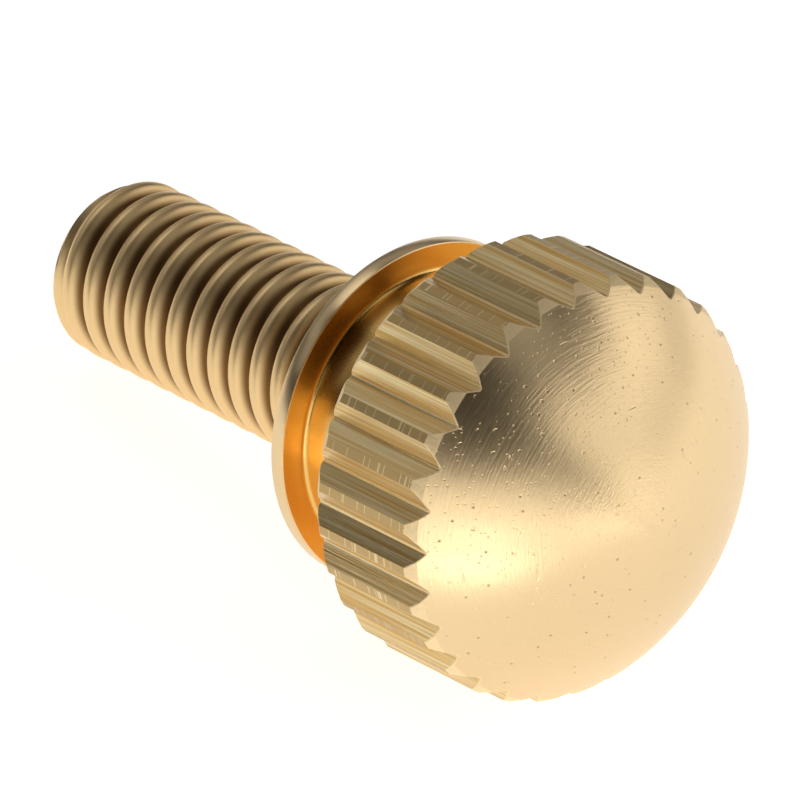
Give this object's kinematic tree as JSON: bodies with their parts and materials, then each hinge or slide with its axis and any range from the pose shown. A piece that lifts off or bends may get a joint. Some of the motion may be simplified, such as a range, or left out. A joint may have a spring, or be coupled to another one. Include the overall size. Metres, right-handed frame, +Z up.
{
  "type": "thumb screw",
  "caption": "Solid brass thumb screw with a fluted grip, domed end, plain neck, thin collar and M4 thread.",
  "frame": {"origin": "on the surface the screw lies on, under the middle of its length and width", "axes": "+X along the screw from its tip to its domed end, +Y across it, +Z up; the screw's own axis rises from tip to dome by 12.39 degrees about Y"},
  "size_m": [0.0178, 0.0094, 0.0097],
  "materials": {
    "brass": "bare turned brass with a satin dome and drawn flutes"
  },
  "bodies": {
    "root": {"thumb_screw": "brass"}
  },
  "joints": []
}
